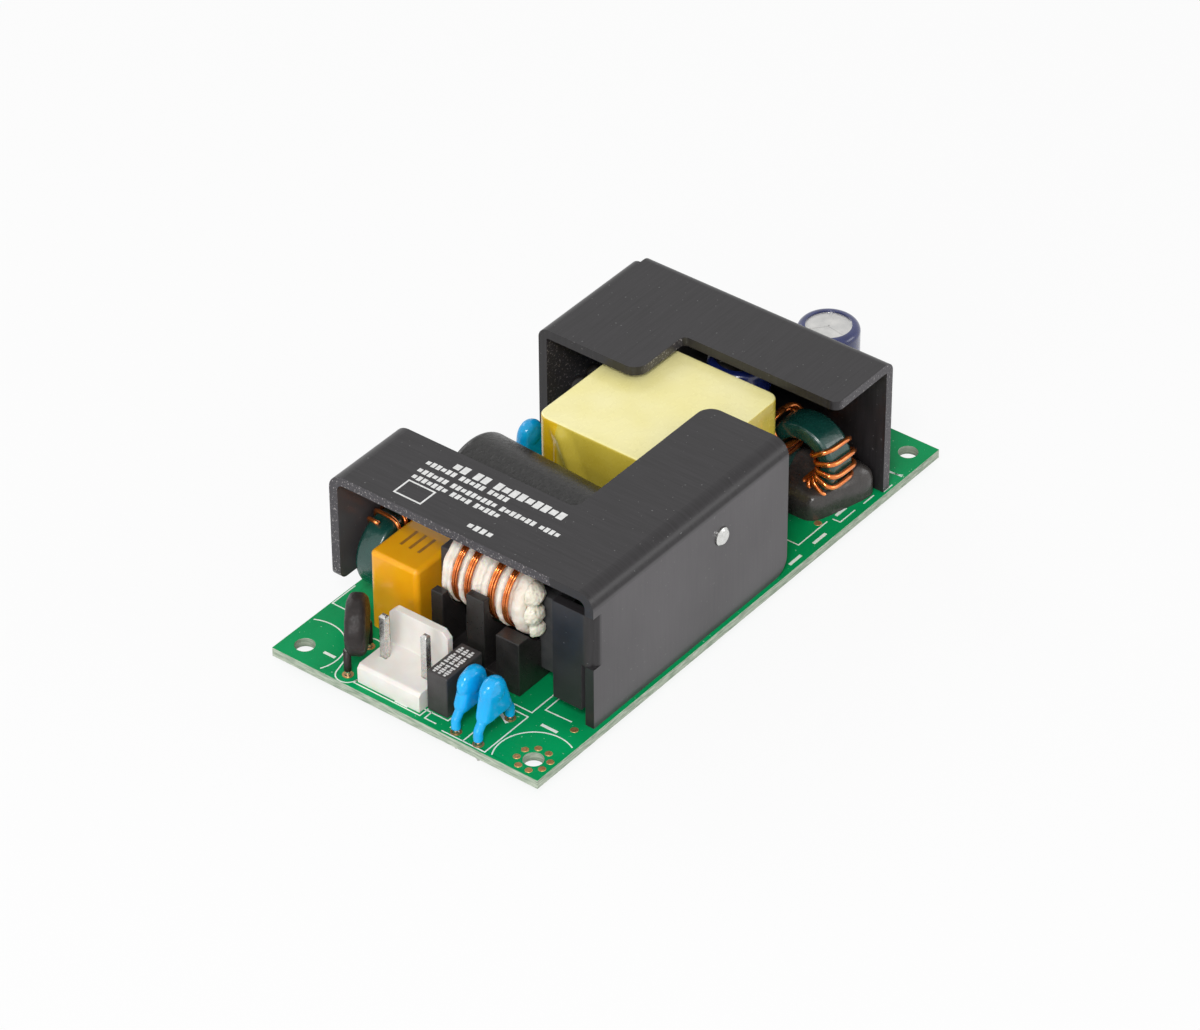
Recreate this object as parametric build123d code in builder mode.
# Open-frame AC-DC power supply: two bent-sheet heatsinks and their parts on a 4 x 2 inch board
# Millimetres, X along the board from the input end to the output end, Z up
# Origin at the centre of the four mounting holes, on the underside of the board
import os
from math import cos, radians, sin
from build123d import *

os.makedirs("parts", exist_ok=True)

# Board
board_length = 101.6
board_width = 50.8
board_thickness = 1.6
mounting_hole = 3.2
mounting_inset = 3.5

input_edge = -board_length / 2
output_edge = board_length / 2
near_edge = -board_width / 2
far_edge = board_width / 2
deck = board_thickness

# Leads: how far they stand out below the board, and the play in their holes
lead_tail = 1.4
lead_play = 0.1
pin_square = 1.14
thin_lead = 0.6
thick_lead = 0.8

# Sheet metal of both heatsinks
sheet = 1.6
heatsink_height = 24.5
tab_clearance = 4.7
slip = 0.05

# Primary heatsink
primary_inset = 14.3
primary_wall_inset = 0.7
primary_tab_inset = 0.1
primary_start = input_edge + primary_inset
primary_length = 47.8
primary_wall = near_edge + primary_wall_inset
primary_tab = far_edge - primary_tab_inset
shoulder_length = 15.5
strip_width = 15.3
primary_bend = 2.8
shoulder_radius = 1.5
strip_corner = 2.5
wall_corner = 3.0
tab_corner = 1.5
fold_width = 7.6
fold_bend = 2.0
fold_bottom = 2.5
fold_joined = 11.0
fold_top = 20.5
fold_slit = 0.7

# Secondary heatsink
secondary_inset = 12.9
secondary_near_inset = 0.5
secondary_tab_inset = 1.7
secondary_wall = output_edge - secondary_inset
secondary_near = near_edge + secondary_near_inset
secondary_tab = far_edge - secondary_tab_inset
secondary_reach = 14.5
secondary_tab_reach = 26.1
step_y = 4.3
secondary_bend = 1.9
step_radius = 1.0
front_corner = 1.5
corner_relief = 0.8

# Power transistor and output rectifier, bolted to the heatsinks
package_width = 10.2
package_thickness = 4.5
package_tab = 1.3
package_height = 15.8
package_body = 9.2
package_hole = 3.7
package_hole_drop = 2.8
package_pitch = 2.54
package_lead_back = 2.4
package_lead_width = 0.8
package_lead_thickness = 0.5
package_body_edge = 0.4
pad_thickness = 0.3
pad_margin = 0.8
screw_diameter = 3.0
screw_head = 5.6
screw_head_height = 2.2
screw_height = 17.0
screw_tip = 0.6
screw_point = 0.3
screw_head_edge = 0.8
screw_slot = 0.8
screw_slot_length = 3.4
screw_slot_depth = 0.9
transistor_x = -5.6
rectifier_y = 9.6

# Bulk capacitor, lying across the board
bulk_diameter = 16.0
bulk_length = 31.5
bulk_gap = 0.9
bulk_height = 12.2
bulk_far_end = 17.8
bulk_skew = 4.0
bulk_pitch = 7.5
bulk_lead_run = 2.2
lead_bend = 1.0

# Shared make-up of the electrolytic capacitors
sleeve_thickness = 0.3
sleeve_lip = 1.0
bung_depth = 1.6
can_rim = 0.9
can_edge = 0.8

# Transformer
transformer_gap = 0.4
transformer_width = 26.4
transformer_length = 29.0
transformer_clearance = 1.3
transformer_height = 22.0
transformer_corner = 2.2
tape_thickness = 0.4
tape_bottom = 4.2
core_depth = 19.0
core_plate = 3.4
core_leg = 2.6
core_post = 10.6
bobbin_wall = 1.0
bobbin_flange = 1.2
bobbin_radius = 9.6
rail_height = 4.0
coil_radius = 9.1
transformer_pitch = 5.0
pins_per_rail = 4
pin_inset = 1.6
rail_link = 14.0
transformer_pin = 0.8
sleeved_lead = 1.7
sleeved_lead_core = 0.8
sleeved_lead_gap = 3.45
sleeved_lead_height = 16.5
sleeved_lead_places = (13.6, 17.2)
sleeve_bend = 2.2

# Input filter choke: sectional coil on a closed ferrite core
filter_x = -29.5
filter_height = 13.6
filter_near = -10.9
filter_length = 15.65
bead_radius = 6.5
winding_radius = 6.15
groove_radius = 5.4
filter_leg = 5.0
filter_bar = 2.85
filter_foot = 2.2
filter_play = 0.1
base_reach = 7.9
base_back_reach = 7.2
base_near = -11.4
base_length = 16.6
base_slabs = ((-9.2, 4.4, 9.8), (-3.2, 3.4, 14.8), (4.1, 2.2, 12.4))
bead_places = ((4.25, 1.0), (3.25, 1.0), (0.98, 1.14), (-1.65, 1.5), (-3.2, 1.6), (-6.1, 1.4), (-9.45, 2.9))
groove_places = ((2.15, 1.2), (-0.25, 1.3), (-4.7, 1.4), (-7.4, 1.2))
filter_pin_spread = 10.0
filter_pin_rows = (-9.4, 4.0)
winding_edge = 0.3
silicone_lumps = ((-3.9, 3.4, 2.3), (-4.1, -0.2, 2.2), (-3.4, -3.2, 1.8))

# Ring choke behind the film capacitor
ring_x = -28.5
ring_gap = 1.25
ring_height = 7.7
ring_outer = 6.4
ring_inner = 3.4
ring_thickness = 4.4
ring_wire = 0.7
wire_slack = 0.05
ring_turns = 8
ring_first = -75.0
ring_step = 27.0
ring_tail_reach = 2.6
ring_edge = 0.5

# Film capacitor across the line
film_start = -37.5
film_far = 17.0
film_length = 13.0
film_width = 9.2
film_height = 14.3
film_pitch = 10.0
film_radius = 0.9
film_top_radius = 0.8

# Thermistor disc
thermistor_x = -45.25
thermistor_y = 13.1
thermistor_diameter = 9.8
thermistor_thickness = 3.3
thermistor_height = 6.9
thermistor_twist = 34.0
thermistor_pitch = 7.3
thermistor_row = 14.0
thermistor_rim = 1.2
thermistor_lead_drop = 2.0

# Input connector: three places, the middle one empty
connector_pitch = 3.96
input_places = 3
input_connector_x = -45.1
input_connector_y = 3.95
connector_depth = 8.5
connector_front = 4.2
connector_base = 3.4
connector_wall = 1.2
connector_wall_height = 10.0
connector_wall_trim = 0.35
connector_chamfer = 1.0
pin_height = 11.2
pin_point = 0.3
base_edge = 0.5

# Output connector: four places, behind the secondary heatsink
output_places = 4
output_connector_x = 44.4
output_connector_y = 8.2

# Fuse
fuse_x = -43.5
fuse_y = -4.1
fuse_length = 8.4
fuse_width = 3.9
fuse_height = 7.2
fuse_pitch = 5.08
fuse_radius = 0.3

# Safety capacitors: drop-shaped coating over a disc and its two legs
# Each place gives the middle of the leads, then the middle of the head along X and Z
head_diameter = 4.9
coat_thickness = 2.5
coat_rim = 1.1
shoulder_spread = 4.4
shoulder_width = 2.5
shoulder_height = 4.2
coat_leg = 1.6
knee_height = 2.3
knee_bend = 0.8
coat_gap = 0.7
safety_pitch = 7.5
safety_places = (
    ("line_safety_capacitor", (-45.6, -9.0), (-45.2, 7.2)),
    ("earth_safety_capacitor", (-45.8, -13.35), (-46.0, 7.8)),
    ("bridging_safety_capacitor", (4.7, 20.0), (4.7, 9.7)),
)

# Bridge rectifier
bridge_x = -27.3
bridge_gap = 1.7
bridge_length = 14.4
bridge_thickness = 3.6
bridge_height = 10.4
bridge_lift = 2.4
bridge_pitch = 3.8
bridge_legs = 4
bridge_corner = 3.0

# Output choke: a ring standing in a bed of silicone
output_ring_x = 29.2
output_ring_y = -15.6
output_ring_height = 7.7
output_ring_outer = 6.6
output_ring_inner = 3.8
output_ring_thickness = 5.6
output_wire = 0.95
output_turns = (-74.0, -56.0, -38.0, -20.0, -2.0, 16.0, 34.0, 142.0, 160.0, 178.0)
output_tail_reach = 1.9
bed_height = 6.6
bed_left = 23.1
bed_far = -9.4
bed_play = 0.1
bed_round = 1.6
bed_corner = 2.0
bed_front_reach = 0.9
bed_setback = 0.3
bed_bow = 1.6
bed_bow_end = 30.0
bed_sweep = 8.5

# Output capacitors: place, diameter and height
output_capacitors = ((44.1, -8.3, 10.0, 20.5), (28.6, -2.5, 10.0, 20.5), (27.6, 17.4, 8.0, 16.0))
output_capacitor_pitch = 5.0

# Optocoupler
opto_x = -5.6
opto_y = 19.0
opto_length = 4.6
opto_width = 6.4
opto_height = 3.4
opto_lift = 0.6
opto_span = 7.62
opto_pitch = 2.54
opto_lead = 0.5
opto_lead_thickness = 0.3
opto_slope = 0.5

# Chips soldered under the board
controller_x = -8.0
controller_y = 4.0
controller_length = 4.9
controller_width = 3.9
controller_height = 1.2
controller_lift = 0.1
controller_edge = 0.2
controller_leg = 0.4
controller_foot = 1.0
controller_leg_height = 0.7
legs_per_side = 4
controller_pitch = 1.27
chip_length = 3.2
chip_width = 1.6
chip_height = 0.6
chip_resistors = (
    (-20.0, 10.0),
    (-20.0, 6.5),
    (-14.0, -6.0),
    (-9.0, -6.0),
    (1.0, 3.0),
    (1.0, 7.0),
    (24.5, -6.0),
    (36.0, 16.0),
)
chip_capacitors = ((-14.0, 9.5), (-14.0, 12.5), (5.0, -8.0), (24.5, 5.0), (36.0, -14.0))

heatsink_top = deck + heatsink_height
ring_y = primary_tab - sheet - ring_gap - ring_thickness / 2
bridge_y = primary_wall + sheet + bridge_gap + bridge_thickness / 2
shoulder_x = primary_start + shoulder_length
strip_edge = primary_wall + strip_width
primary_end = primary_start + primary_length
bottom_centre = (Align.CENTER, Align.CENTER, Align.MIN)
top_centre = (Align.CENTER, Align.CENTER, Align.MAX)

drilled = []
seals = []
pads = []
screws = []


# Writes a finished piece under its own name
def write(piece, name):
    piece.part.label = name
    export_step(piece.part, f"parts/{name}.step")


# Alike solids that share one piece name
def write_group(solids, name):
    with BuildPart() as group:
        add(solids)
    write(group, name)


# Round leads from a height down through the board, and the holes they need
def round_leads(name, *rows):
    with BuildPart() as leads:
        for places, diameter, height in rows:
            with Locations(*[(x, y, -lead_tail) for x, y in places]):
                Cylinder(diameter / 2, lead_tail + height, align=bottom_centre)
            for x, y in places:
                drilled.append((x, y, diameter / 2 + lead_play))
    write(leads, name)


# Square pins from a height down through the board, with their points chamfered
def square_pins(name, places, width, height, point=0.0):
    with BuildPart() as pins:
        with Locations(*[(x, y, -lead_tail) for x, y in places]):
            Box(width, width, lead_tail + height, align=bottom_centre)
        if point > 0:
            chamfer(pins.faces().group_by(Axis.Z)[-1].edges(), point)
    for x, y in places:
        drilled.append((x, y, width * 2**0.5 / 2 + lead_play))
    write(pins, name)


# Corner edge of the piece in work that stands nearest to a place
def corner_at(piece, direction, place):
    return piece.edges().filter_by(direction).sort_by_distance(place)[0]


# Primary heatsink: wall at the near edge, top with a narrow strip, tab at the far edge
with BuildPart() as primary_heatsink:
    with BuildSketch(Plane.YZ.offset(primary_start)):
        with BuildLine():
            FilletPolyline(
                (primary_wall, deck),
                (primary_wall, heatsink_top),
                (primary_tab, heatsink_top),
                (primary_tab, deck + tab_clearance),
                radius=primary_bend,
            )
            offset(amount=sheet, side=Side.RIGHT)
        make_face()
    extrude(amount=primary_length)
    # Open corner that leaves room for the transformer
    with BuildSketch(Plane.XY.offset(deck)) as notch:
        with Locations((shoulder_x, strip_edge)):
            Rectangle(primary_length, board_width, align=(Align.MIN, Align.MIN))
        fillet(notch.vertices().sort_by_distance((shoulder_x, strip_edge, deck))[0], shoulder_radius)
    extrude(amount=heatsink_height + sheet, mode=Mode.SUBTRACT)
    fillet(corner_at(primary_heatsink, Axis.Z, (primary_end, strip_edge, heatsink_top)), strip_corner)
    fillet(corner_at(primary_heatsink, Axis.Y, (primary_end, primary_wall, deck)), wall_corner)
    for end in (primary_start, shoulder_x):
        fillet(corner_at(primary_heatsink, Axis.Y, (end, primary_tab, deck + tab_clearance)), tab_corner)
    # Room for the fold at the input end, then the fold itself
    with Locations((primary_start, primary_wall, deck + fold_joined)):
        Box(
            fold_bend,
            sheet,
            fold_top - fold_joined,
            align=(Align.MIN, Align.MIN, Align.MIN),
            mode=Mode.SUBTRACT,
        )
    with BuildSketch(Plane.XY.offset(deck + fold_joined)):
        with BuildLine():
            FilletPolyline(
                (primary_start + 2 * fold_bend, primary_wall),
                (primary_start, primary_wall),
                (primary_start, primary_wall + fold_width),
                radius=fold_bend,
            )
            offset(amount=sheet, side=Side.RIGHT)
        make_face()
    extrude(amount=fold_top - fold_joined)
    fold_start = primary_wall + sheet + fold_slit
    with Locations((primary_start, fold_start, deck + fold_bottom)):
        Box(
            sheet,
            primary_wall + fold_width - fold_start,
            fold_joined - fold_bottom,
            align=(Align.MIN, Align.MIN, Align.MIN),
        )
    # Threaded hole for the transistor's screw
    with Locations(Plane.XZ.offset(-primary_wall)):
        with Locations((transistor_x, deck + screw_height)):
            Hole(screw_diameter / 2 + slip)
write(primary_heatsink, "primary_heatsink")

# Secondary heatsink: wall across the board, top with a step, tab at the far edge
with BuildPart() as secondary_heatsink:
    with BuildSketch(Plane.XZ.offset(-secondary_near)):
        with BuildLine():
            FilletPolyline(
                (secondary_wall - secondary_tab_reach, heatsink_top),
                (secondary_wall, heatsink_top),
                (secondary_wall, deck),
                radius=secondary_bend,
            )
            offset(amount=sheet, side=Side.RIGHT)
        make_face()
    extrude(amount=secondary_near - secondary_tab + secondary_bend)
    with BuildSketch(Plane.YZ.offset(secondary_wall - secondary_tab_reach)):
        with BuildLine():
            FilletPolyline(
                (step_y, heatsink_top),
                (secondary_tab, heatsink_top),
                (secondary_tab, deck + tab_clearance),
                radius=secondary_bend,
            )
            offset(amount=sheet, side=Side.RIGHT)
        make_face()
    extrude(amount=secondary_tab_reach - secondary_bend - corner_relief)
    # Step in the front edge
    step_x = secondary_wall - secondary_reach
    with BuildSketch(Plane.XY.offset(deck)) as step:
        with Locations((step_x, step_y)):
            Rectangle(secondary_tab_reach, board_width, align=(Align.MAX, Align.MAX))
        fillet(step.vertices().sort_by_distance((step_x, step_y, deck))[0], step_radius)
    extrude(amount=heatsink_height + sheet, mode=Mode.SUBTRACT)
    tab_front = secondary_wall - secondary_tab_reach
    fillet(corner_at(secondary_heatsink, Axis.Z, (tab_front, step_y, heatsink_top)), strip_corner)
    fillet(corner_at(secondary_heatsink, Axis.Z, (step_x, secondary_near, heatsink_top)), front_corner)
    # Threaded hole for the rectifier's screw
    with Locations(Plane.YZ.offset(secondary_wall)):
        with Locations((rectifier_y, deck + screw_height)):
            Hole(screw_diameter / 2 + slip)
write(secondary_heatsink, "secondary_heatsink")


# Power package bolted to a wall: the face plane has its origin on the wall at board level,
# its X along the wall and its Z away from the wall
def power_package(face, name):
    tab_top = screw_height + package_hole_drop
    body_bottom = tab_top - package_height
    tab_face = pad_thickness + package_tab
    with BuildPart() as pad:
        with BuildSketch(face):
            with Locations((0, tab_top + pad_margin)):
                Rectangle(
                    package_width + 2 * pad_margin,
                    package_height + 2 * pad_margin,
                    align=(Align.CENTER, Align.MAX),
                )
            with Locations((0, screw_height)):
                Circle(screw_diameter / 2 + slip, mode=Mode.SUBTRACT)
        extrude(amount=pad_thickness)
    pads.append(pad.part)
    with BuildPart() as frame:
        with BuildSketch(face.offset(pad_thickness)):
            with Locations((0, tab_top)):
                Rectangle(package_width, package_height, align=(Align.CENTER, Align.MAX))
            with Locations((0, screw_height)):
                Circle(package_hole / 2, mode=Mode.SUBTRACT)
        extrude(amount=package_tab)
        # Three leads, one of them joined to the tab inside the body
        with BuildSketch(face.offset(pad_thickness + package_lead_back)):
            with Locations((0, body_bottom)):
                with GridLocations(package_pitch, 1, 3, 1):
                    Rectangle(
                        package_lead_width,
                        body_bottom + deck + lead_tail,
                        align=(Align.CENTER, Align.MAX),
                    )
        extrude(amount=package_lead_thickness)
    write(frame, name + "_leadframe")
    with BuildPart() as body:
        with BuildSketch(face.offset(tab_face)):
            with Locations((0, body_bottom)):
                Rectangle(package_width, package_body, align=(Align.CENTER, Align.MIN))
        extrude(amount=package_thickness - package_tab)
        chamfer(body.faces().sort_by(Axis(face.origin, face.z_dir))[-1].edges(), package_body_edge)
    write(body, name + "_body")
    with BuildPart() as screw:
        with BuildSketch(face.offset(-sheet - screw_tip)):
            with Locations((0, screw_height)):
                Circle(screw_diameter / 2)
        extrude(amount=sheet + screw_tip + tab_face)
        chamfer(screw.faces().sort_by(Axis(face.origin, face.z_dir))[0].edges(), screw_point)
        with BuildSketch(face.offset(tab_face)):
            with Locations((0, screw_height)):
                Circle(screw_head / 2)
        extrude(amount=screw_head_height)
        fillet(screw.faces().sort_by(Axis(face.origin, face.z_dir))[-1].edges(), screw_head_edge)
        with BuildSketch(face.offset(tab_face + screw_head_height)):
            with Locations((0, screw_height)):
                Rectangle(screw_slot, screw_slot_length)
                Rectangle(screw_slot_length, screw_slot)
        extrude(amount=-screw_slot_depth, mode=Mode.SUBTRACT)
    screws.append(screw.part)
    lead_back = pad_thickness + package_lead_back + package_lead_thickness / 2
    lead_radius = (package_lead_width**2 + package_lead_thickness**2) ** 0.5 / 2
    for place in (-package_pitch, 0, package_pitch):
        hole = face.from_local_coords((place, 0, lead_back))
        drilled.append((hole.X, hole.Y, lead_radius + lead_play))


transistor_face = Plane(
    origin=(transistor_x, primary_wall + sheet, deck), x_dir=(-1, 0, 0), z_dir=(0, 1, 0)
)
power_package(transistor_face, "transistor")
rectifier_face = Plane(
    origin=(secondary_wall - sheet, rectifier_y, deck), x_dir=(0, -1, 0), z_dir=(-1, 0, 0)
)
power_package(rectifier_face, "rectifier")


# Electrolytic capacitor on a base plane: can, shrink sleeve and rubber seal
def electrolytic(base, diameter, height, name, number=""):
    can_radius = diameter / 2 - sleeve_thickness
    along = Axis(base.origin, base.z_dir)
    with BuildPart() as can:
        with BuildSketch(base):
            Circle(can_radius)
        extrude(amount=height - sleeve_thickness)
        fillet(can.faces().sort_by(along)[-1].edges(), can_edge)
        with BuildSketch(base):
            Circle(can_radius - can_rim)
        extrude(amount=bung_depth, mode=Mode.SUBTRACT)
    write(can, name + "_can" + number)
    # The sleeve turns over the rim of the can's closed end
    with BuildPart() as sleeve:
        with BuildSketch(base):
            Circle(diameter / 2)
        extrude(amount=height)
        fillet(sleeve.faces().sort_by(along)[-1].edges(), can_edge + sleeve_thickness)
        with BuildSketch(base):
            Circle(can_radius - sleeve_lip)
        extrude(amount=height, mode=Mode.SUBTRACT)
        add(can.part, mode=Mode.SUBTRACT)
        with BuildSketch(base):
            Circle(can_radius)
        extrude(amount=bung_depth, mode=Mode.SUBTRACT)
    write(sleeve, name + "_sleeve" + number)
    with BuildPart() as bung:
        with BuildSketch(base):
            Circle(can_radius - can_rim)
        extrude(amount=bung_depth)
    seals.append(bung.part)


# Bulk capacitor on its side, seal toward the near edge
bulk_x = shoulder_x + bulk_gap + bulk_diameter / 2
bulk_along = Vector(sin(radians(bulk_skew)), cos(radians(bulk_skew)), 0)
bulk_far_centre = Vector(bulk_x, bulk_far_end, deck + bulk_height)
bulk_base = Plane(
    origin=bulk_far_centre - bulk_along * bulk_length, x_dir=(0, 0, 1), z_dir=bulk_along
)
electrolytic(bulk_base, bulk_diameter, bulk_length, "bulk_capacitor")
with BuildPart() as bulk_capacitor_leads:
    for side in (-bulk_pitch / 2, bulk_pitch / 2):
        start = bulk_base.from_local_coords((0, side, 0))
        turn = bulk_base.from_local_coords((0, side, -bulk_lead_run))
        with BuildLine() as route:
            FilletPolyline(start, turn, (turn.X, turn.Y, -lead_tail), radius=lead_bend)
        with BuildSketch(Plane(origin=start, z_dir=-bulk_along)):
            Circle(thick_lead / 2)
        sweep(path=route.wire())
        drilled.append((turn.X, turn.Y, thick_lead / 2 + lead_play))
write(bulk_capacitor_leads, "bulk_capacitor_leads")

# Transformer
transformer_x = bulk_x + bulk_diameter / 2 + transformer_gap + transformer_width / 2
transformer_near = primary_wall + sheet + pad_thickness + package_thickness + transformer_clearance
transformer_far = transformer_near + transformer_length
transformer_y = transformer_near + transformer_length / 2
transformer_top = deck + transformer_height
core_width = transformer_width - 2 * tape_thickness
core_top = transformer_top - tape_thickness
core_bottom = deck + rail_height
core_middle = (core_top + core_bottom) / 2

# Tape wrapped round the sides and folded over the top
with BuildPart() as transformer_tape:
    with BuildSketch(Plane.XY.offset(deck + tape_bottom)):
        with Locations((transformer_x, transformer_y)):
            RectangleRounded(transformer_width, transformer_length, transformer_corner)
    extrude(amount=transformer_height - tape_bottom)
    with BuildSketch(Plane.XY.offset(deck + tape_bottom)):
        with Locations((transformer_x, transformer_y)):
            RectangleRounded(
                core_width,
                transformer_length - 2 * tape_thickness,
                transformer_corner - tape_thickness,
            )
    extrude(amount=transformer_height - tape_bottom - tape_thickness, mode=Mode.SUBTRACT)
write(transformer_tape, "transformer_tape")

# Two core halves that meet at half height
with BuildPart() as transformer_core:
    for level, side in ((core_bottom, 1), (core_top, -1)):
        with BuildSketch(Plane.XY.offset(level)):
            with Locations((transformer_x, transformer_y)):
                Rectangle(core_width, core_depth)
        extrude(amount=side * (core_middle - core_bottom))
    with BuildSketch(Plane.XY.offset(core_bottom + core_plate)):
        with Locations((transformer_x, transformer_y)):
            Rectangle(core_width - 2 * core_leg, core_depth)
            Circle(core_post / 2, mode=Mode.SUBTRACT)
    extrude(amount=core_top - core_bottom - 2 * core_plate, mode=Mode.SUBTRACT)
    split(bisect_by=Plane.XY.offset(core_middle), keep=Keep.BOTH)
write(transformer_core, "transformer_core")

# Bobbin: spool on the core's post, and two rails that carry the pins
window_bottom = core_bottom + core_plate
window_height = core_top - core_bottom - 2 * core_plate
with BuildPart() as transformer_bobbin:
    with BuildSketch(Plane.XY.offset(window_bottom)):
        with Locations((transformer_x, transformer_y)):
            Circle(core_post / 2 + bobbin_wall)
    extrude(amount=window_height)
    with BuildSketch(Plane.XY.offset(window_bottom)):
        with Locations((transformer_x, transformer_y)):
            Circle(bobbin_radius)
            Rectangle(rail_link, core_depth + 2 * (slip + bobbin_wall))
    extrude(amount=bobbin_flange)
    with BuildSketch(Plane.XY.offset(window_bottom + window_height)):
        with Locations((transformer_x, transformer_y)):
            Circle(bobbin_radius)
    extrude(amount=-bobbin_flange)
    # Rails on the board, joined to the lower flange round the core's edges
    with BuildSketch(Plane.XY.offset(deck)):
        with Locations((transformer_x, transformer_y)):
            Rectangle(core_width, transformer_length)
            Rectangle(core_width, core_depth + 2 * slip, mode=Mode.SUBTRACT)
    extrude(amount=rail_height)
    with BuildSketch(Plane.XY.offset(deck)):
        with Locations((transformer_x, transformer_y)):
            Rectangle(rail_link, core_depth + 2 * (slip + bobbin_wall))
            Rectangle(rail_link, core_depth + 2 * slip, mode=Mode.SUBTRACT)
    extrude(amount=window_bottom + bobbin_flange - deck)
    with BuildSketch(Plane.XY.offset(window_bottom)):
        with Locations((transformer_x, transformer_y)):
            Circle(core_post / 2 + slip)
    extrude(amount=window_height, mode=Mode.SUBTRACT)
write(transformer_bobbin, "transformer_bobbin")

with BuildPart() as transformer_winding:
    with BuildSketch(Plane.XY.offset(window_bottom + bobbin_flange)):
        with Locations((transformer_x, transformer_y)):
            Circle(coil_radius)
            Circle(core_post / 2 + bobbin_wall, mode=Mode.SUBTRACT)
    extrude(amount=window_height - 2 * bobbin_flange)
write(transformer_winding, "transformer_winding")

pin_row_y = transformer_length / 2 - pin_inset
with GridLocations(transformer_pitch, 2 * pin_row_y, pins_per_rail, 2) as grid:
    transformer_pins = [
        (transformer_x + place.position.X, transformer_y + place.position.Y) for place in grid.locations
    ]
square_pins("transformer_pins", transformer_pins, transformer_pin, deck)

# Two leads in sleeves, from the far side of the transformer down to the board
sleeved_lead_reach = (
    secondary_tab - sheet - sleeved_lead_gap - sleeved_lead / 2 - transformer_far
)
with BuildPart() as transformer_leads:
    for place in sleeved_lead_places:
        start = Vector(place, transformer_far, deck + sleeved_lead_height)
        turn = start + Vector(0, sleeved_lead_reach, 0)
        with BuildLine() as route:
            FilletPolyline(start, turn, (turn.X, turn.Y, -lead_tail), radius=sleeve_bend)
        with BuildSketch(Plane(origin=start, z_dir=(0, 1, 0))):
            Circle(sleeved_lead_core / 2)
        sweep(path=route.wire())
        drilled.append((turn.X, turn.Y, sleeved_lead_core / 2 + lead_play))
write(transformer_leads, "transformer_leads")
with BuildPart() as transformer_lead_sleeves:
    for place in sleeved_lead_places:
        start = Vector(place, transformer_far, deck + sleeved_lead_height)
        turn = start + Vector(0, sleeved_lead_reach, 0)
        with BuildLine() as route:
            FilletPolyline(start, turn, (turn.X, turn.Y, deck), radius=sleeve_bend)
        with BuildSketch(Plane(origin=start, z_dir=(0, 1, 0))):
            Circle(sleeved_lead / 2)
            Circle(sleeved_lead_core / 2, mode=Mode.SUBTRACT)
        sweep(path=route.wire())
write(transformer_lead_sleeves, "transformer_lead_sleeves")

# Input filter choke, coil axis along Y
filter_axis = Plane(origin=(filter_x, 0, deck + filter_height), x_dir=(1, 0, 0), z_dir=(0, 1, 0))
filter_middle = filter_near + filter_length / 2

# Spool with rounded ribs between the grooves of the winding
with BuildPart() as filter_choke_spool:
    with BuildSketch(Plane(origin=(filter_x, 0, deck + filter_height), x_dir=(1, 0, 0), z_dir=(0, 0, 1))):
        with Locations((0, filter_near)):
            Rectangle(groove_radius, filter_length, align=(Align.MIN, Align.MIN))
        for place, width in bead_places:
            with Locations((0, place)):
                Rectangle(bead_radius - width / 2, width, align=(Align.MIN, Align.CENTER))
            with Locations((bead_radius - width / 2, place)):
                Circle(width / 2)
    revolve(axis=Axis((filter_x, 0, deck + filter_height), (0, 1, 0)))
    with Locations((filter_x, filter_middle, deck + filter_height)):
        Box(
            filter_leg + 2 * filter_play,
            filter_length,
            filter_leg + 2 * filter_play,
            mode=Mode.SUBTRACT,
        )
write(filter_choke_spool, "filter_choke_spool")

# Winding: one section of turns in each groove, its outer corners bevelled
with BuildPart() as filter_choke_winding:
    with BuildSketch(Plane(origin=(filter_x, 0, deck + filter_height), x_dir=(1, 0, 0), z_dir=(0, 0, 1))):
        for place, width in groove_places:
            with BuildLine():
                Polyline(
                    (groove_radius, place - width / 2),
                    (winding_radius - winding_edge, place - width / 2),
                    (winding_radius, place - width / 2 + winding_edge),
                    (winding_radius, place + width / 2 - winding_edge),
                    (winding_radius - winding_edge, place + width / 2),
                    (groove_radius, place + width / 2),
                    close=True,
                )
            make_face()
    revolve(axis=Axis((filter_x, 0, deck + filter_height), (0, 1, 0)))
write(filter_choke_winding, "filter_choke_winding")

# Two U halves of the ferrite core, the upper leg inside the coil
filter_core_bottom = deck + filter_foot
filter_core_top = deck + filter_height + filter_leg / 2
filter_window_top = filter_core_top - filter_leg
with BuildPart() as filter_choke_core:
    with BuildSketch(Plane.YZ.offset(filter_x - filter_leg / 2)):
        with Locations((filter_middle, filter_core_bottom)):
            Rectangle(
                filter_length + 2 * filter_bar,
                filter_core_top - filter_core_bottom,
                align=(Align.CENTER, Align.MIN),
            )
        with Locations((filter_middle, filter_core_bottom + filter_bar)):
            Rectangle(
                filter_length,
                filter_window_top - filter_core_bottom - filter_bar,
                align=(Align.CENTER, Align.MIN),
                mode=Mode.SUBTRACT,
            )
    extrude(amount=filter_leg)
    split(bisect_by=Plane.XZ.offset(-filter_middle), keep=Keep.BOTH)
write(filter_choke_core, "filter_choke_core")

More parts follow.
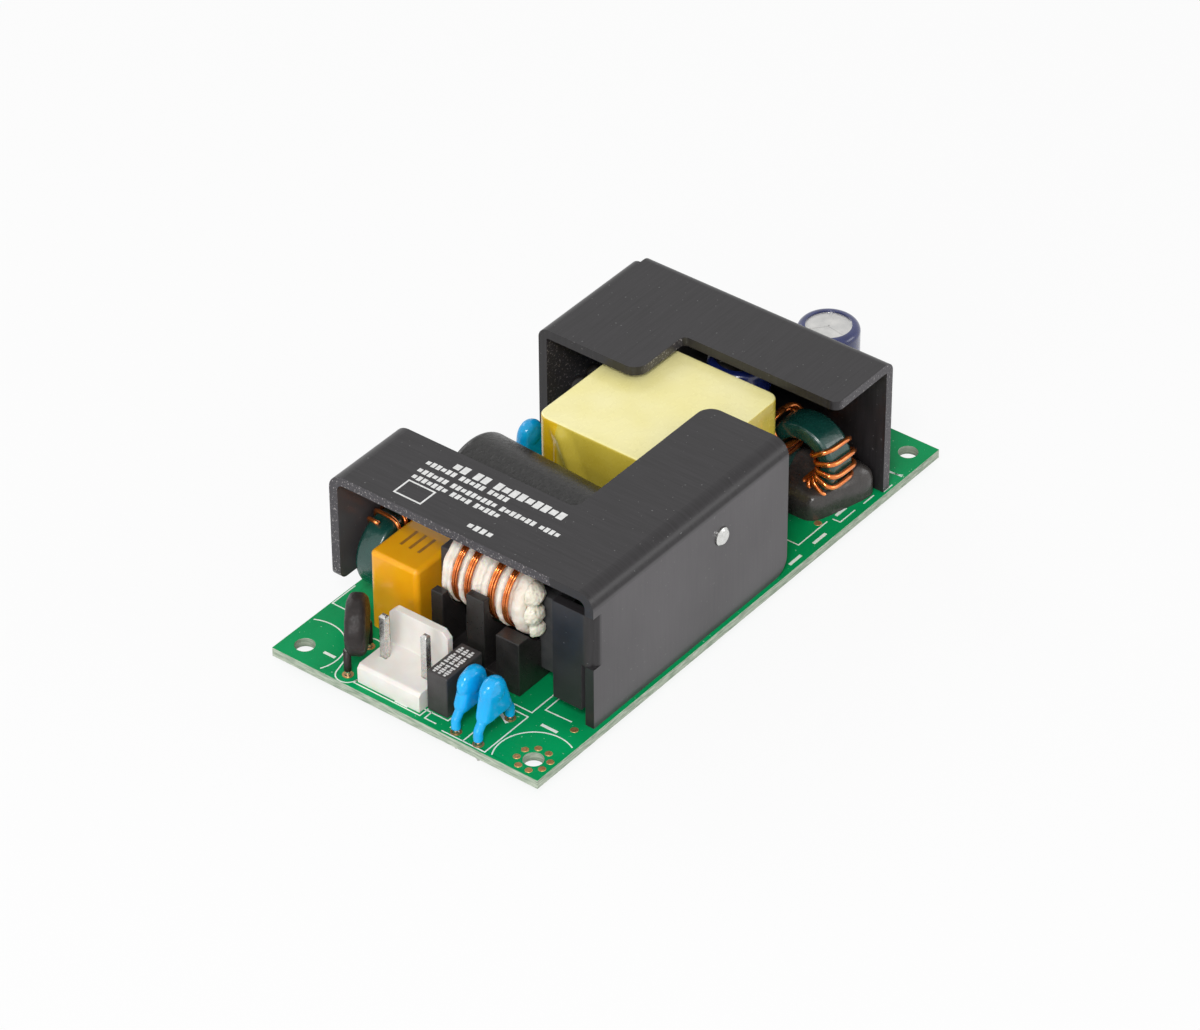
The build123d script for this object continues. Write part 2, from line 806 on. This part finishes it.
# Moulded base: floor and three slabs that cradle the coil
with BuildPart() as filter_choke_base:
    with Locations((filter_x - base_reach, base_near, deck)):
        Box(
            base_reach + base_back_reach,
            base_length,
            filter_foot,
            align=(Align.MIN, Align.MIN, Align.MIN),
        )
    for place, depth, height in base_slabs:
        with Locations((filter_x - base_reach, place, deck)):
            Box(
                base_reach + base_back_reach,
                depth,
                height,
                align=(Align.MIN, Align.CENTER, Align.MIN),
            )
    with BuildSketch(filter_axis.offset(base_near)):
        Circle(bead_radius + filter_play)
    extrude(amount=base_length, mode=Mode.SUBTRACT)
    with Locations((filter_x, filter_middle, filter_core_bottom)):
        Box(
            filter_leg + 2 * filter_play,
            base_length + 2 * filter_bar,
            filter_height,
            align=(Align.CENTER, Align.CENTER, Align.MIN),
            mode=Mode.SUBTRACT,
        )
write(filter_choke_base, "filter_choke_base")
filter_pins = [
    (filter_x + side * filter_pin_spread / 2, row) for side in (-1, 1) for row in filter_pin_rows
]
square_pins("filter_choke_pins", filter_pins, thick_lead, deck)

# Lumps of silicone on the near end of the coil
with BuildPart() as filter_choke_silicone:
    for across, height, radius in silicone_lumps:
        with Locations((filter_x + across, filter_near, deck + filter_height + height)):
            Sphere(radius)
    split(bisect_by=Plane.XZ.offset(-filter_near), keep=Keep.TOP)
    split(bisect_by=Plane.YZ.offset(filter_x - filter_leg / 2), keep=Keep.BOTTOM)
write(filter_choke_silicone, "filter_choke_silicone")


# Ring core standing on edge: the plane's origin is its centre and its Z the ring's axis
def ring_core(plane, outer, inner, thickness, name):
    with BuildPart() as core:
        with BuildSketch(plane.offset(-thickness / 2)):
            Circle(outer)
            Circle(inner, mode=Mode.SUBTRACT)
        extrude(amount=thickness)
        chamfer(core.edges(), ring_edge)
    write(core, name)


# Turns of wire round a ring core, one closed loop at each angle, and two tails to the board
def ring_winding(plane, outer, inner, thickness, wire, angles, tails, name):
    with BuildPart() as winding:
        for angle in angles:
            outward = plane.x_dir * cos(radians(angle)) + plane.y_dir * sin(radians(angle))
            around = plane.y_dir * cos(radians(angle)) - plane.x_dir * sin(radians(angle))
            middle = plane.origin + outward * (outer + inner) / 2
            turn = Plane(origin=middle, x_dir=outward, z_dir=around)
            with BuildSketch(turn.offset(-wire / 2)):
                RectangleRounded(
                    outer - inner + 2 * (wire + wire_slack), thickness + 2 * (wire + wire_slack), wire
                )
                Rectangle(
                    outer - inner + 2 * wire_slack, thickness + 2 * wire_slack, mode=Mode.SUBTRACT
                )
            extrude(amount=wire)
        for tail in tails:
            with Locations((tail.X, tail.Y, -lead_tail)):
                Cylinder(wire / 2, tail.Z + lead_tail, align=bottom_centre)
            drilled.append((tail.X, tail.Y, wire / 2 + lead_play))
    write(winding, name)


ring_plane = Plane(origin=(ring_x, ring_y, deck + ring_height), x_dir=(1, 0, 0), z_dir=(0, -1, 0))
ring_core(ring_plane, ring_outer, ring_inner, ring_thickness, "ring_choke_core")
ring_angles = [ring_first + ring_step * turn for turn in range(ring_turns)]
ring_tail_y = ring_thickness / 2 + ring_wire / 2
ring_tails = [
    Vector(ring_x + side * ring_tail_reach, ring_y + side * ring_tail_y, deck + ring_height - ring_outer)
    for side in (-1, 1)
]
ring_winding(
    ring_plane,
    ring_outer,
    ring_inner,
    ring_thickness,
    ring_wire,
    ring_angles,
    ring_tails,
    "ring_choke_winding",
)

# Output choke and its bed
output_plane = Plane(
    origin=(output_ring_x, output_ring_y, deck + output_ring_height), x_dir=(0, -1, 0), z_dir=(-1, 0, 0)
)
ring_core(output_plane, output_ring_outer, output_ring_inner, output_ring_thickness, "output_choke_core")
output_tail_x = output_ring_thickness / 2 + output_wire / 2
output_tails = [
    Vector(
        output_ring_x + side * output_tail_x,
        output_ring_y - output_tail_reach,
        deck + output_ring_height - output_ring_outer,
    )
    for side in (-1, 1)
]
ring_winding(
    output_plane,
    output_ring_outer,
    output_ring_inner,
    output_ring_thickness,
    output_wire,
    output_turns,
    output_tails,
    "output_choke_winding",
)

# Bed of silicone round the foot of the output choke, against the wall
bed_wall = secondary_wall - sheet
bed_front = output_ring_y - bed_front_reach
with BuildPart() as output_choke_silicone:
    with BuildSketch(Plane.XY.offset(deck)) as footprint:
        with BuildLine():
            Polyline(
                (bed_left, bed_front),
                (bed_left, bed_far),
                (bed_wall, bed_far),
                (bed_wall, secondary_near + bed_setback),
                (bed_bow_end, secondary_near + bed_bow),
            )
            RadiusArc((bed_left, bed_front), (bed_bow_end, secondary_near + bed_bow), -bed_sweep)
        make_face()
        for corner in ((bed_left, bed_front, deck), (bed_bow_end, secondary_near + bed_bow, deck)):
            fillet(footprint.vertices().sort_by_distance(corner)[0], bed_corner)
    extrude(amount=bed_height)
    bed_rim = output_choke_silicone.edges().group_by(Axis.Z)[-1]
    open_rim = [
        edge for edge in bed_rim if edge.center().X < bed_wall - slip and edge.center().Y < bed_far - slip
    ]
    fillet(open_rim, bed_round)
    with BuildSketch(output_plane.offset(-output_ring_thickness / 2 - output_wire - bed_play)):
        Circle(output_ring_outer + output_wire + bed_play)
    extrude(amount=output_ring_thickness + 2 * (output_wire + bed_play), mode=Mode.SUBTRACT)
    with Locations(*[(tail.X, tail.Y, deck) for tail in output_tails]):
        Cylinder(output_wire / 2 + bed_play, bed_height, align=bottom_centre, mode=Mode.SUBTRACT)
write(output_choke_silicone, "output_choke_silicone")

# Output capacitors
output_capacitor_places = []
for number, (x, y, diameter, height) in enumerate(output_capacitors, 1):
    stand = Plane(origin=(x, y, deck), x_dir=(1, 0, 0), z_dir=(0, 0, 1))
    electrolytic(stand, diameter, height, "output_capacitor", f"_{number}")
    output_capacitor_places += [(x, y + side * output_capacitor_pitch / 2) for side in (-1, 1)]
round_leads("output_capacitor_leads", (output_capacitor_places, thin_lead, deck))

# Film capacitor
film_x = film_start + film_length / 2
film_y = film_far - film_width / 2
with BuildPart() as film_capacitor:
    with BuildSketch(Plane.XY.offset(deck)):
        with Locations((film_x, film_y)):
            RectangleRounded(film_length, film_width, film_radius)
    extrude(amount=film_height)
    fillet(film_capacitor.faces().sort_by(Axis.Z)[-1].edges(), film_top_radius)
write(film_capacitor, "film_capacitor")
film_leads = [(film_x + side * film_pitch / 2, film_y) for side in (-1, 1)]

# Thermistor: a disc turned on its leads, its coating round their upper ends
row_x = cos(radians(thermistor_row)) * thermistor_pitch / 2
row_y = sin(radians(thermistor_row)) * thermistor_pitch / 2
thermistor_leads = [(thermistor_x + side * row_x, thermistor_y + side * row_y) for side in (-1, 1)]
disc_normal = (-sin(radians(thermistor_twist)), cos(radians(thermistor_twist)), 0)
disc_plane = Plane(
    origin=(thermistor_x, thermistor_y, deck + thermistor_height), x_dir=(0, 0, 1), z_dir=disc_normal
)
with BuildPart() as thermistor:
    with BuildSketch(disc_plane.offset(-thermistor_thickness / 2)):
        Circle(thermistor_diameter / 2)
    extrude(amount=thermistor_thickness)
    fillet(thermistor.edges().filter_by(GeomType.CIRCLE), thermistor_rim)
    with Locations(*[(x, y, 0) for x, y in thermistor_leads]):
        Cylinder(
            thick_lead / 2,
            deck + thermistor_height - thermistor_lead_drop,
            align=bottom_centre,
            mode=Mode.SUBTRACT,
        )
write(thermistor, "thermistor")

# Safety capacitors: the coating narrows from the head to two shoulders, and runs down the legs
safety_leads = []
for name, (x, y), (head_x, head_height) in safety_places:
    ends = [(x + side * safety_pitch / 2, y) for side in (-1, 1)]
    with BuildPart() as coating:
        with BuildSketch(Plane.XZ.offset(-y)):
            with Locations((head_x, deck + head_height)):
                Circle(head_diameter / 2)
            with Locations((x, deck + shoulder_height)):
                with GridLocations(shoulder_spread, 1, 2, 1):
                    Circle(shoulder_width / 2)
            make_hull()
        extrude(amount=coat_thickness / 2, both=True)
        fillet(coating.faces().filter_by(Axis.Y).edges(), coat_rim)
        for side, end in zip((-1, 1), ends):
            shoulder = Vector(x + side * shoulder_spread / 2, y, deck + shoulder_height)
            knee = Vector(*end, deck + knee_height)
            with BuildLine() as route:
                FilletPolyline(shoulder, knee, (*end, deck + coat_gap), radius=knee_bend)
            with BuildSketch(Plane(origin=shoulder, z_dir=knee - shoulder)):
                Circle(coat_leg / 2)
            sweep(path=route.wire())
        with Locations(*[(*end, 0) for end in ends]):
            Cylinder(thin_lead / 2, deck + knee_height, align=bottom_centre, mode=Mode.SUBTRACT)
    write(coating, name)
    safety_leads += ends
round_leads("safety_capacitor_leads", (safety_leads, thin_lead, deck + knee_height))


# Pin header on the board: base, keyed wall at the back and one square pin for each place in use
def header(x, y, places, used, front, name):
    width = places * connector_pitch
    pins = [(x, y + (place - (places - 1) / 2) * connector_pitch) for place in used]
    back = x - front * (connector_depth - connector_front)
    wall_align = (Align.MIN if front > 0 else Align.MAX, Align.CENTER, Align.MIN)
    with BuildPart() as housing:
        with Locations((back, y, deck)):
            Box(connector_depth, width, connector_base, align=wall_align)
        top_edges = housing.faces().sort_by(Axis.Z)[-1].edges().sort_by(Axis.X)
        chamfer(top_edges[-1 if front > 0 else 0], base_edge)
        with BuildSketch(Plane.YZ.offset(back)) as wall:
            with Locations((y, deck)):
                Rectangle(
                    width - 2 * connector_wall_trim, connector_wall_height, align=(Align.CENTER, Align.MIN)
                )
            chamfer(wall.vertices().group_by(Axis.Z)[-1], connector_chamfer)
        extrude(amount=front * connector_wall)
        with Locations(*[(*pin, 0) for pin in pins]):
            Box(
                pin_square,
                pin_square,
                deck + connector_base,
                align=bottom_centre,
                mode=Mode.SUBTRACT,
            )
    write(housing, name)
    square_pins(name + "_pins", pins, pin_square, deck + pin_height, pin_point)


header(input_connector_x, input_connector_y, input_places, (0, 2), -1, "input_connector")
header(output_connector_x, output_connector_y, output_places, range(output_places), 1, "output_connector")

# Fuse
with BuildPart() as fuse:
    with BuildSketch(Plane.XY.offset(deck)):
        with Locations((fuse_x, fuse_y)):
            RectangleRounded(fuse_length, fuse_width, fuse_radius)
    extrude(amount=fuse_height)
    fillet(fuse.faces().sort_by(Axis.Z)[-1].edges(), fuse_radius)
write(fuse, "fuse")
fuse_leads = [(fuse_x + side * fuse_pitch / 2, fuse_y) for side in (-1, 1)]
round_leads(
    "input_part_leads",
    (film_leads, thick_lead, deck),
    (thermistor_leads, thick_lead, deck + thermistor_height - thermistor_lead_drop),
    (fuse_leads, thin_lead, deck),
)

# Bridge rectifier on its four leads, one corner cut off
with BuildPart() as bridge_rectifier:
    with BuildSketch(Plane.XZ.offset(-bridge_y - bridge_thickness / 2)) as bridge_face:
        with Locations((bridge_x, deck + bridge_lift)):
            Rectangle(bridge_length, bridge_height, align=(Align.CENTER, Align.MIN))
        corner = (
            bridge_x - bridge_length / 2,
            bridge_y + bridge_thickness / 2,
            deck + bridge_lift + bridge_height,
        )
        chamfer(bridge_face.vertices().sort_by_distance(corner)[0], bridge_corner)
    extrude(amount=bridge_thickness)
write(bridge_rectifier, "bridge_rectifier")
bridge_leads = [
    (bridge_x + (place - (bridge_legs - 1) / 2) * bridge_pitch, bridge_y) for place in range(bridge_legs)
]
square_pins("bridge_rectifier_leads", bridge_leads, thick_lead, deck + bridge_lift)

# Optocoupler
with BuildPart() as optocoupler:
    with Locations((opto_x, opto_y, deck + opto_lift)):
        Box(opto_length, opto_width, opto_height, align=bottom_centre)
    chamfer(optocoupler.edges().filter_by(Axis.X).group_by(Axis.Z)[-1], opto_slope)
write(optocoupler, "optocoupler")
opto_shoulder = deck + opto_lift + opto_height / 2
with BuildPart() as optocoupler_leads:
    for across in (-opto_pitch / 2, opto_pitch / 2):
        for side in (-1, 1):
            reach = Align.MIN if side > 0 else Align.MAX
            with Locations((opto_x + across, opto_y + side * opto_width / 2, opto_shoulder)):
                Box(
                    opto_lead,
                    (opto_span - opto_width) / 2 + opto_lead / 2,
                    opto_lead_thickness,
                    align=(Align.CENTER, reach, Align.CENTER),
                )
            with Locations((opto_x + across, opto_y + side * opto_span / 2, -lead_tail)):
                Box(opto_lead, opto_lead, lead_tail + opto_shoulder, align=bottom_centre)
            drilled.append(
                (opto_x + across, opto_y + side * opto_span / 2, opto_lead / 2**0.5 + lead_play)
            )
write(optocoupler_leads, "optocoupler_leads")

# Controller chip and small chip parts soldered under the board
with BuildPart() as controller:
    with Locations((controller_x, controller_y, -controller_lift)):
        Box(controller_length, controller_width, controller_height, align=top_centre)
    chamfer(controller.faces().sort_by(Axis.Z)[0].edges(), controller_edge)
write(controller, "controller")
with BuildPart() as controller_legs:
    for side in (-1, 1):
        reach = Align.MIN if side > 0 else Align.MAX
        with Locations((controller_x, controller_y + side * controller_width / 2, 0)):
            with GridLocations(controller_pitch, 1, legs_per_side, 1):
                Box(
                    controller_leg,
                    controller_foot,
                    controller_leg_height,
                    align=(Align.CENTER, reach, Align.MAX),
                )
write(controller_legs, "controller_legs")
for name, places in (("chip_resistors", chip_resistors), ("chip_capacitors", chip_capacitors)):
    with BuildPart() as chips:
        with Locations(*[(x, y, 0) for x, y in places]):
            Box(chip_length, chip_width, chip_height, align=top_centre)
    write(chips, name)

write_group(seals, "capacitor_seals")
write_group(pads, "insulating_pads")
write_group(screws, "heatsink_screws")

# Board with its mounting holes and a drilled hole for every lead
with BuildPart() as circuit_board:
    with BuildSketch():
        Rectangle(board_length, board_width)
        with GridLocations(board_length - 2 * mounting_inset, board_width - 2 * mounting_inset, 2, 2):
            Circle(mounting_hole / 2, mode=Mode.SUBTRACT)
        for x, y, radius in drilled:
            with Locations((x, y)):
                Circle(radius, mode=Mode.SUBTRACT)
    extrude(amount=board_thickness)
write(circuit_board, "circuit_board")
